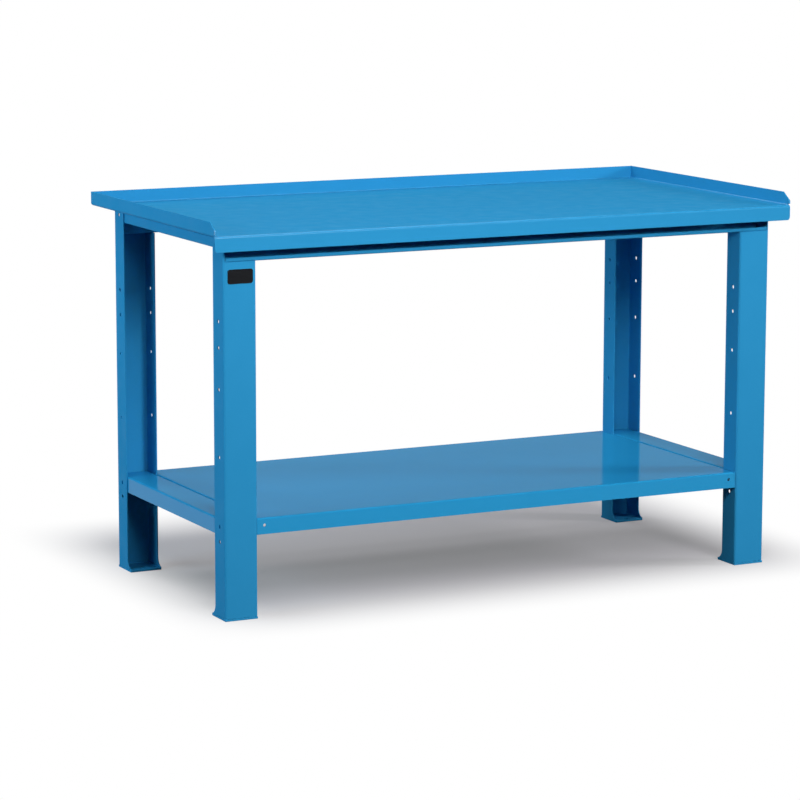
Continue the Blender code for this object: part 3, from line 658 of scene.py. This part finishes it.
tray = blank("worktop_sheet", (0.0, (roll_y + inner_y) / 2, TOP_FACE),
             (2 * inner_x, inner_y - roll_y))
pick("EDGE", y=inner_y)
for side_x in (-inner_x, inner_x):
    pick("EDGE", x=side_x, more=True)
pull(z=TOP_HIGH.z - TOP_FACE)
pick("EDGE", y=inner_y, z=TOP_FACE)
for side_x in (-inner_x, inner_x):
    pick("EDGE", x=side_x, z=TOP_FACE, more=True)
fold(TOP_FOLD, 7)
pick("EDGE", x=(-skirt_x, skirt_x), y=roll_y, z=TOP_FACE)
bpy.ops.mesh.spin(steps=8, angle=-TURN, center=(0.0, roll_y, TOP_FACE - TOP_ROLL),
                  axis=(1.0, 0.0, 0.0))
pick("EDGE", x=(-skirt_x, skirt_x), y=TOP_LOW.y, z=TOP_FACE - TOP_ROLL)
pull(z=TOP_LOW.z - TOP_FACE + TOP_ROLL)
for side in (-1, 1):
    pick("EDGE", x=side * skirt_x, y=(TOP_LOW.y, roll_y), z=(TOP_LOW.z, TOP_FACE))
    pull(x=side * TOP_ROLL)
    pick("EDGE", x=side * inner_x, y=roll_y, z=(TOP_FACE + TOP_FOLD, TOP_HIGH.z))
    pull(y=-TOP_ROLL)
    pick("VERT", x=side * TOP_HIGH.x, z=TOP_LOW.z)
    bpy.ops.mesh.bevel(offset=SKIRT_CORNER, segments=7, profile=0.5, affect="VERTICES",
                       clamp_overlap=False)
    pick("FACE", x=side * inner_x, z=(TOP_FACE + TOP_FOLD, TOP_HIGH.z))
    slice_at((0.0, TOP_LOW.y, TOP_HIGH.z - LIP_SLOPE_DROP), (0.0, -LIP_SLOPE_DROP, LIP_SLOPE_RUN),
             drop=True)
thicken(TOP_SHEET, mitred=True)
bpy.ops.object.mode_set(mode="EDIT")
for side in (-1, 1):
    pick("EDGE", x=side * TOP_HIGH.x, y=TOP_HIGH.y, more=side > 0)
bpy.ops.mesh.bevel(offset=GROUND_CORNER, segments=4, profile=0.5, affect="EDGES", clamp_overlap=False)
soften(width=0.0004)
# The skirt's mitred ends come out a hundredth of a millimetre proud, and are pressed flat.
bpy.ops.object.mode_set(mode="EDIT")
pick("VERT", y=(-FAR, TOP_LOW.y))
bpy.ops.transform.resize(value=(1.0, 0.0, 1.0), center_override=(0.0, TOP_LOW.y, 0.0))
for side in (-1, 1):
    pick("VERT", x=(TOP_HIGH.x, FAR) if side > 0 else (-FAR, -TOP_HIGH.x))
    bpy.ops.transform.resize(value=(0.0, 1.0, 1.0), center_override=(side * TOP_HIGH.x, 0.0, 0.0))
set_down()
fit(tray, frame_paint, "blue_powder_coat", "worktop")

# The coat flows smooth over the front roll and into the lips' folds, and shines there. Each row is one
# sum in the paint: its name, what it does, its two values, and whether it is held between 0 and 1. The
# sums start from the place, x, y and z in metres, and from the roughness that the paint has so far.
tree = frame_paint.node_tree
shader = tree.nodes["Principled BSDF"]
corner_place = add_node(tree, "ShaderNodeTexCoord").outputs["Object"]
axes = add_node(tree, "ShaderNodeSeparateXYZ", {"Vector": corner_place}).outputs
found = {"x": axes["X"], "y": axes["Y"], "z": axes["Z"],
         "dull": shader.inputs["Roughness"].links[0].from_socket}
for name, operation, first, second, held in (
        ("before_roll", "SUBTRACT", roll_y, "y", True),
        ("above_roll", "SUBTRACT", "z", TOP_FACE - TOP_ROLL, True),
        ("on_roll", "MULTIPLY", "before_roll", "above_roll", False),
        ("roll_share", "MULTIPLY", "on_roll", 2 / TOP_ROLL ** 2, True),
        ("off_middle", "ABSOLUTE", "x", 0.0, False),
        ("past_side", "SUBTRACT", "off_middle", inner_x - TOP_FOLD, True),
        ("past_rear", "SUBTRACT", "y", inner_y - TOP_FOLD, True),
        ("past_lip", "MAXIMUM", "past_side", "past_rear", False),
        ("below", "SUBTRACT", TOP_FACE + TOP_FOLD, "z", True),
        ("farthest", "MAXIMUM", "past_lip", "below", False),
        ("inside", "LESS_THAN", "farthest", TOP_FOLD + COAT_REACH, False),
        ("at_fold", "MULTIPLY", "past_lip", "below", False),
        ("in_fold", "MULTIPLY", "at_fold", "inside", False),
        ("fold_share", "MULTIPLY", "in_fold", 2 / TOP_FOLD ** 2, True),
        ("smooth", "MAXIMUM", "roll_share", "fold_share", False),
        ("half_smooth", "MULTIPLY", "smooth", 0.5, False),
        ("still_dull", "SUBTRACT", 1.0, "half_smooth", False),
        ("roughness", "MULTIPLY", "dull", "still_dull", False)):
    found[name] = add_node(tree, "ShaderNodeMath",
                           {0: found.get(first, first), 1: found.get(second, second)},
                           operation=operation, use_clamp=held).outputs["Value"]
shine = add_node(tree, "ShaderNodeMapRange", {"Value": found["smooth"], "To Min": FRAME_SHINE,
                                              "To Max": COAT_SHINE})
tree.links.new(shine.outputs["Result"], shader.inputs["Specular IOR Level"])
tree.links.new(found["roughness"], shader.inputs["Roughness"])

# ---------------------------------------------------------------------------------------------------
# Worktop stiffeners: two hat sections of 1.5 mm sheet, spot welded through their flanges to the
# worktop's underside every 120 mm before the coat. The electrodes leave round marks of 6 mm.
# ---------------------------------------------------------------------------------------------------
HAT_SHEET = 0.0015
HAT_FLANGE = 0.018
HAT_BEND = 0.0015
SPOT_MARK = 0.006
SPOT_DEPTH = 0.0004
SPOT_PITCH = 0.120
# The last marks keep at least this far from each end.
SPOT_END = 0.020


def hat_section(name, node, finish, slot):
    """A hat section that hangs below a sheet, folded from one strip, with spot welds along its flanges."""
    low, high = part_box(node)
    middle_y, bottom = (low.y + high.y) / 2, low.z + HAT_SHEET
    half = (high.y - low.y) / 2 - HAT_FLANGE
    piece = blank(name, ((low.x + high.x) / 2, middle_y, bottom), (high.x - low.x, 2 * half))
    for side in (-1, 1):
        pick("EDGE", y=middle_y + side * half, z=bottom)
        pull(z=high.z - bottom)
        pull(y=side * HAT_FLANGE)
    for height, radius in ((bottom, HAT_BEND), (high.z, HAT_BEND + HAT_SHEET)):
        pick("EDGE", y=middle_y - half, z=height)
        pick("EDGE", y=middle_y + half, z=height, more=True)
        fold(radius, 5)
    thicken(HAT_SHEET)
    count = int((high.x - low.x - 2 * SPOT_END) / SPOT_PITCH)
    spot_y = half + HAT_FLANGE / 2
    drill(SPOT_MARK, 2 * SPOT_DEPTH, (0.0, 0.0, 0.0),
          [((i - count / 2) * SPOT_PITCH, middle_y + side * spot_y, high.z - HAT_SHEET)
           for i in range(count + 1) for side in (-1, 1)], sides=20)
    soften(width=0.00015)
    fit(piece, finish, slot, node)


for end in ("front", "rear"):
    hat_section("worktop_hat_" + end, "worktop_stiffener_" + end, frame_paint, "blue_powder_coat")

# ---------------------------------------------------------------------------------------------------
# Worktop studs and nuts: six M8 studs, arc welded under the worktop, drop through the rails' top
# flanges. A zinc plated flanged nut on each clamps the worktop down. They show only from below.
# ---------------------------------------------------------------------------------------------------
NUT_LOW, NUT_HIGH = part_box("worktop_nut_front_left")
NUT_HEIGHT = NUT_HIGH.z - NUT_LOW.z
NUT_BORE = 0.0041
COUNTERSINK_WIDTH = 0.0016
COUNTERSINK_DEPTH = 0.0006
NUT_HEX_START = 0.0009
STUD_LENGTH = 0.016
STUD_FOOT = 0.0043
STUD_FOOT_HEIGHT = 0.0010
STUD_NECK = 0.0003


def threaded_bore(height):
    """What is drilled out of a nut: a bore with a countersink at each end."""
    mouth = NUT_BORE + COUNTERSINK_WIDTH
    return turned("bore", [(-PAST, 0.0), (-PAST, mouth), (COUNTERSINK_DEPTH, NUT_BORE),
                           (height - COUNTERSINK_DEPTH, NUT_BORE), (height + PAST, mouth),
                           (height + PAST, 0.0)])


stud = turned("stud", [(0.0, 0.0), (0.0, STUD_FOOT), (STUD_FOOT_HEIGHT, STUD_FOOT)]
              + thread(STUD_FOOT_HEIGHT + STUD_NECK, STUD_LENGTH))
nut = hexagon("flanged_nut", NUT_HEX_START, NUT_HEIGHT)
rim = (NUT_HIGH.x - NUT_LOW.x) / 2
# The flange has a rounded foot and an upright rim, and slopes up to the hexagon.
collar = turned("collar", [(0.0, 0.0), (0.0, rim - 0.0004), (0.0004, rim), (0.0011, rim),
                           (0.0024, 0.0060), (0.0024, 0.0)], sides=48)
take(nut)
work_with(collar, "UNION")
bore = threaded_bore(NUT_HEIGHT)
take(nut)
work_with(bore, "DIFFERENCE")
for end, stud_y in (("front", STUD_Y), ("rear", 2 * MIDDLE_Y - STUD_Y)):
    for side, stud_x in zip(("left", "middle", "right"), STUD_PLACES):
        place_name = end + "_" + side
        piece = stand(copy_of(stud, "worktop_stud_" + place_name), (stud_x, stud_y, TOP_FACE - TOP_SHEET),
                      (0.0, 0.0, -1.0))
        fit(piece, zinc, "zinc_plated_steel", "worktop")
        piece = stand(copy_of(nut, "worktop_flanged_nut_" + place_name), (stud_x, stud_y, NUT_HIGH.z),
                      (0.0, 0.0, -1.0))
        fit(piece, zinc, "zinc_plated_steel", "worktop_nut_" + place_name)
for part in (stud, nut):
    bpy.data.objects.remove(part)

# ---------------------------------------------------------------------------------------------------
# Shelf: a 2 mm panel turned down on all four sides and welded at the corners, between the legs, with a
# folded piece inside the legs at each end. Its coat is glossier and mirrors the rear legs.
# ---------------------------------------------------------------------------------------------------
SHELF_LOW, SHELF_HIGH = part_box("shelf_panel")
SHELF_END_LOW, SHELF_END_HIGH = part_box("shelf_end_left")
SHELF_SHEET = 0.002
SHELF_FOLD = 0.004
SHELF_BOLT_Z = LEG_HOLE_HEIGHTS[1]
SHELF_BOLT_LINES = (LEG_HOLE_LINE, 2 * MIDDLE_Y - LEG_HOLE_LINE)
SHELF_HOLE = 0.007
SHELF_HOLE_X = 0.616
SHELF_HOLE_Z = 0.214

shelf_paint = powder_coat("gloss_blue_powder_coat", "#2596cd", "#2798cf", roughness=0.10,
                          specular=0.08, peel_depth=0.000008)

panel = blank("shelf_sheet", (0.0, (SHELF_LOW.y + SHELF_HIGH.y) / 2, SHELF_HIGH.z),
              (SHELF_HIGH.x - SHELF_LOW.x, SHELF_HIGH.y - SHELF_LOW.y))
bpy.ops.mesh.select_mode(type="EDGE")
bpy.ops.mesh.select_all(action="SELECT")
turned_down = SHELF_LOW.z - SHELF_HIGH.z
bpy.ops.mesh.extrude_edges_move(TRANSFORM_OT_translate={"value": (0.0, 0.0, turned_down)})
pick("EDGE", z=SHELF_HIGH.z)
fold(SHELF_FOLD, 7)
thicken(SHELF_SHEET, mitred=True)
drill(LEG_HOLE, 2 * SHELF_HIGH.x + 2 * THROUGH, (0.0, TURN, 0.0),
      [(0.0, y, SHELF_BOLT_Z) for y in SHELF_BOLT_LINES])
drill(SHELF_HOLE, SHELF_HIGH.y - SHELF_LOW.y + 2 * THROUGH, (TURN, 0.0, 0.0),
      [(side * SHELF_HOLE_X, MIDDLE_Y, SHELF_HOLE_Z) for side in (-1, 1)])
soften()
fit(panel, shelf_paint, "blue_powder_coat_gloss", "shelf_panel")

hat_section("shelf_hat", "shelf_stiffener", shelf_paint, "blue_powder_coat_gloss")

shelf_end = blank("shelf_end", ((SHELF_END_LOW.x + SHELF_END_HIGH.x) / 2, MIDDLE_Y, SHELF_END_HIGH.z),
                  (SHELF_END_HIGH.x - SHELF_END_LOW.x, SHELF_END_HIGH.y - SHELF_END_LOW.y))
for edge_x in (SHELF_END_LOW.x, SHELF_END_HIGH.x):
    pick("EDGE", x=edge_x)
    pull(z=SHELF_END_LOW.z - SHELF_END_HIGH.z)
for edge_x in (SHELF_END_LOW.x, SHELF_END_HIGH.x):
    pick("EDGE", x=edge_x, z=SHELF_END_HIGH.z, more=edge_x == SHELF_END_HIGH.x)
fold(SHELF_FOLD, 7)
thicken(SHELF_SHEET)
drill(LEG_HOLE, THROUGH, (0.0, TURN, 0.0),
      [(SHELF_END_HIGH.x, y, SHELF_BOLT_Z) for y in SHELF_BOLT_LINES])
soften()
fit(mirror_copy(shelf_end, "shelf_end_sheet_right", across_x=True), shelf_paint,
    "blue_powder_coat_gloss", "shelf_end_right")
shelf_end.name = shelf_end.data.name = "shelf_end_sheet_left"
fit(shelf_end, shelf_paint, "blue_powder_coat_gloss", "shelf_end_left")

# ---------------------------------------------------------------------------------------------------
# Shelf bolts: an M8 hexagon screw and a plain nut at each leg, zinc plated. Each clamps the shelf end,
# the leg's inner flange and the panel's turned down end together.
# ---------------------------------------------------------------------------------------------------
BOLT_LOW, BOLT_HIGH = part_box("shelf_bolt_front_left")
SHELF_NUT_LOW, SHELF_NUT_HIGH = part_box("shelf_nut_front_left")

bolt_seat = BOLT_LOW.x + HEAD_HEIGHT
bolt = stand(hex_screw("shelf_hex_screw", BOLT_HIGH.x - bolt_seat),
             (bolt_seat, LEG_HOLE_LINE, SHELF_BOLT_Z), (1.0, 0.0, 0.0))
for corner, piece in four_corners(bolt, "shelf_hex_screw").items():
    fit(piece, zinc, "zinc_plated_steel", "shelf_bolt_" + corner)
nut_height = SHELF_NUT_HIGH.x - SHELF_NUT_LOW.x
nut = hexagon("shelf_hex_nut", 0.0, nut_height, both_ends=True)
bore = threaded_bore(nut_height)
take(nut)
work_with(bore, "DIFFERENCE")
stand(nut, (SHELF_NUT_LOW.x, LEG_HOLE_LINE, SHELF_BOLT_Z), (1.0, 0.0, 0.0))
for corner, piece in four_corners(nut, "shelf_hex_nut").items():
    fit(piece, zinc, "zinc_plated_steel", "shelf_nut_" + corner)

# ---------------------------------------------------------------------------------------------------
# Plate: 1.2 mm aluminium, stamped with round corners and a sunk field, black anodised and glued to the
# front left leg. The plate is bare.
# ---------------------------------------------------------------------------------------------------
SIGN_LEFT, SIGN_RIGHT = -0.7045, -0.6431
SIGN_BOTTOM, SIGN_TOP = 0.7675, 0.8002
SIGN_SHEET = 0.0012
SIGN_CORNER = 0.005
SIGN_RIM = 0.0016
SIGN_SINK = 0.0003

# Anodised aluminium: a dark oxide skin, 15 thousandths of a millimetre thick, over a brushed sheet.
black_anodised = bpy.data.materials.new("black_anodised_aluminium")
black_anodised.use_nodes = True
tree = black_anodised.node_tree
shader = tree.nodes["Principled BSDF"]
place = add_node(tree, "ShaderNodeTexCoord").outputs["Object"]
# The brush leaves lines of 0.1 mm along the plate. They are drawn at 0.6 mm, because finer ones don't
# show.
along = add_node(tree, "ShaderNodeMapping", {"Vector": place, "Scale": (0.03, 1.0, 1.0)})
lines = add_node(tree, "ShaderNodeTexNoise", {"Vector": along.outputs["Vector"], "Scale": 1700.0,
                                              "Detail": 3.0})
tint = add_node(tree, "ShaderNodeMix", {"Factor": lines.outputs["Fac"], "A": hex_colour("#141517"),
                                        "B": hex_colour("#232427")}, data_type="RGBA")
tree.links.new(tint.outputs["Result"], shader.inputs["Base Color"])
sheen = add_node(tree, "ShaderNodeMapRange", {"Value": lines.outputs["Fac"], "To Min": 0.34,
                                              "To Max": 0.50})
tree.links.new(sheen.outputs["Result"], shader.inputs["Roughness"])
bump = add_node(tree, "ShaderNodeBump", {"Height": lines.outputs["Fac"], "Distance": 0.00001})
tree.links.new(bump.outputs["Normal"], shader.inputs["Normal"])
shader.inputs["Metallic"].default_value = 1.0

face_y = LEG_LOW.y - SIGN_SHEET
bare_plate = blank("bare_black_plate",
                   ((SIGN_LEFT + SIGN_RIGHT) / 2, face_y, (SIGN_BOTTOM + SIGN_TOP) / 2),
                   (SIGN_RIGHT - SIGN_LEFT, SIGN_TOP - SIGN_BOTTOM), (TURN, 0.0, 0.0))
pick("VERT", y=face_y)
bpy.ops.mesh.bevel(offset=SIGN_CORNER, segments=7, profile=0.5, affect="VERTICES", clamp_overlap=False)
pick("FACE", y=face_y)
bpy.ops.mesh.inset(thickness=SIGN_RIM, depth=0.0)
bpy.ops.mesh.inset(thickness=SIGN_SINK, depth=0.0)
bpy.ops.transform.translate(value=(0.0, SIGN_SINK, 0.0))
thicken(SIGN_SHEET - SIGN_SINK)
soften(width=0.0002, limit=30.0)
fit(bare_plate, black_anodised, None)

# ---------------------------------------------------------------------------------------------------
# Floor: a plain white studio floor that runs out of view. Near the bench it is lit by the lamps, so
# that the soft shadow stays, and it is painted grey there in a soft rectangle, a painted shadow that
# darkens it even where the lamps reach. Further out it turns to even white. It throws little light back.
# ---------------------------------------------------------------------------------------------------
FLOOR_SIZE = 160.0
# The painted shadow is a grey rectangle with soft edges, where the lamps also light the floor: its middle,
# and how far from it each edge starts and ends. The two axes' shares are multiplied, so at the middle the
# lamps give 80% of the light and the painted grey is strongest.
LIT_GREY_MIDDLE = (0.062, 0.178, 0.0)
LIT_GREY_EDGES = (("X", 0.60, 0.93), ("Y", 0.315, 0.731))
LIT_GREY_SHARE = 0.894

set_down()
bpy.ops.mesh.primitive_plane_add(size=FLOOR_SIZE, location=(0.0, 0.0, 0.0))
floor = bpy.context.object
floor.name = floor.data.name = "studio_floor"
floor_white = bpy.data.materials.new("white_studio_floor")
floor_white.use_nodes = True
tree = floor_white.node_tree
ray = add_node(tree, "ShaderNodeLightPath").outputs
seen = ray["Is Camera Ray"]
for kind in ("Is Glossy Ray", "Is Transmission Ray"):
    seen = add_node(tree, "ShaderNodeMath", {0: seen, 1: ray[kind]}, operation="MAXIMUM").outputs["Value"]
floor_place = add_node(tree, "ShaderNodeTexCoord").outputs["Object"]
from_middle = add_node(tree, "ShaderNodeVectorMath", {0: floor_place, 1: LIT_GREY_MIDDLE}, operation="SUBTRACT")
reach = add_node(tree, "ShaderNodeVectorMath", {0: from_middle.outputs["Vector"]}, operation="ABSOLUTE")
reach = add_node(tree, "ShaderNodeSeparateXYZ", {"Vector": reach.outputs["Vector"]}).outputs
near = [add_node(tree, "ShaderNodeMapRange", {"Value": reach[axis], "From Min": inner, "From Max": outer,
                                              "To Min": LIT_GREY_SHARE, "To Max": 0.0},
                 interpolation_type="SMOOTHSTEP").outputs["Result"] for axis, inner, outer in LIT_GREY_EDGES]
lit_painted_grey = add_node(tree, "ShaderNodeMath", {0: near[0], 1: near[1]}, operation="MULTIPLY").outputs["Value"]
unlit = add_node(tree, "ShaderNodeMath", {0: 1.0, 1: lit_painted_grey}, operation="SUBTRACT").outputs["Value"]
glow = add_node(tree, "ShaderNodeMath", {0: unlit, 1: seen}, operation="MULTIPLY")
# Painted shadow: near the bench the floor's colour is a slightly purple grey, so it shows darker there even
# where no shadow falls; towards the rectangle's edges the grey gives way to the white glow.
painted_shadow_grey = add_node(tree, "ShaderNodeMix", {"Factor": lit_painted_grey, "A": hex_colour("#000000"),
                                              "B": hex_colour("#aca8ae")}, data_type="RGBA")
shown = add_node(tree, "ShaderNodeMix", {"Factor": seen, "A": hex_colour("#4a4a4c"),
                                         "B": painted_shadow_grey.outputs["Result"]}, data_type="RGBA")
shader = tree.nodes["Principled BSDF"]
tree.links.new(shown.outputs["Result"], shader.inputs["Base Color"])
tree.links.new(glow.outputs["Value"], shader.inputs["Emission Strength"])
shader.inputs["Emission Color"].default_value = hex_colour("#ffffff")
shader.inputs["Roughness"].default_value = 1.0
shader.inputs["Specular IOR Level"].default_value = 0.0
floor.data.materials.append(floor_white)

# ---------------------------------------------------------------------------------------------------
# Light: three softboxes in front, a large one overhead, one behind and one at each side, the left one a
# little cool, in a dark room with a paler band 7 to 20 degrees above the horizon. A lamp's strength is
# the light that a white card gets where it faces the lamp.
# ---------------------------------------------------------------------------------------------------
# The lamps face the middle of the bench.
AIM = Vector((0.0, 0.0, 0.45))
ROOM_DARK = (0.012, 0.012, 0.013, 1.0)
ROOM_PALE = (0.285, 0.36, 0.42, 1.0)


def softbox(name, size, azimuth, elevation, distance, strength, colour=(1.0, 1.0, 1.0)):
    """A rectangular lamp that faces the bench. Azimuth is in degrees from the front, to the right."""
    light = bpy.data.lights.new(name, "AREA")
    light.shape = "RECTANGLE"
    light.size, light.size_y = size
    light.energy = strength * (math.pi * distance) ** 2
    light.color = colour
    lamp = bpy.data.objects.new(name, light)
    bpy.context.scene.collection.objects.link(lamp)
    a, e = math.radians(azimuth), math.radians(elevation)
    away = Vector((math.sin(a) * math.cos(e), -math.cos(a) * math.cos(e), math.sin(e)))
    lamp.location = AIM + away * distance
    lamp.rotation_euler = (-away).to_track_quat("-Z", "Y").to_euler()


softbox("front_near", (0.5, 0.5), -25.6, 26.0, 2.9, 0.21)
softbox("front_far", (1.0, 1.0), 6.0, 20.0, 6.0, 0.27)
softbox("front_middle", (1.0, 1.0), 0.0, 32.0, 3.2, 0.31)
softbox("right", (0.6, 0.6), 66.0, 18.0, 4.0, 0.32)
softbox("overhead", (3.0, 2.0), 180.0, 86.0, 3.0, 0.39)
softbox("rear", (1.6, 1.2), -160.0, 45.0, 4.0, 0.32)
softbox("left", (1.8, 1.1), -96.0, 12.0, 3.1, 0.43, (0.60, 0.88, 1.0))

room = bpy.data.worlds.new("dim_room")
bpy.context.scene.world = room
room.use_nodes = True
tree = room.node_tree
direction = add_node(tree, "ShaderNodeTexCoord").outputs["Generated"]
rise = add_node(tree, "ShaderNodeSeparateXYZ", {"Vector": direction}).outputs["Z"]
above = add_node(tree, "ShaderNodeMapRange", {"Value": rise, "From Min": 0.12, "From Max": 0.165})
below = add_node(tree, "ShaderNodeMapRange", {"Value": rise, "From Min": 0.25, "From Max": 0.34,
                                              "To Min": 1.0, "To Max": 0.0})
band = add_node(tree, "ShaderNodeMath", {0: above.outputs["Result"], 1: below.outputs["Result"]},
                operation="MULTIPLY")
wall = add_node(tree, "ShaderNodeMix", {"Factor": band.outputs["Value"], "A": ROOM_DARK,
                                        "B": ROOM_PALE}, data_type="RGBA")
tree.links.new(wall.outputs["Result"], tree.nodes["Background"].inputs["Color"])
tree.nodes["Background"].inputs["Strength"].default_value = 1.0

bpy.context.scene.view_settings.view_transform = "Standard"
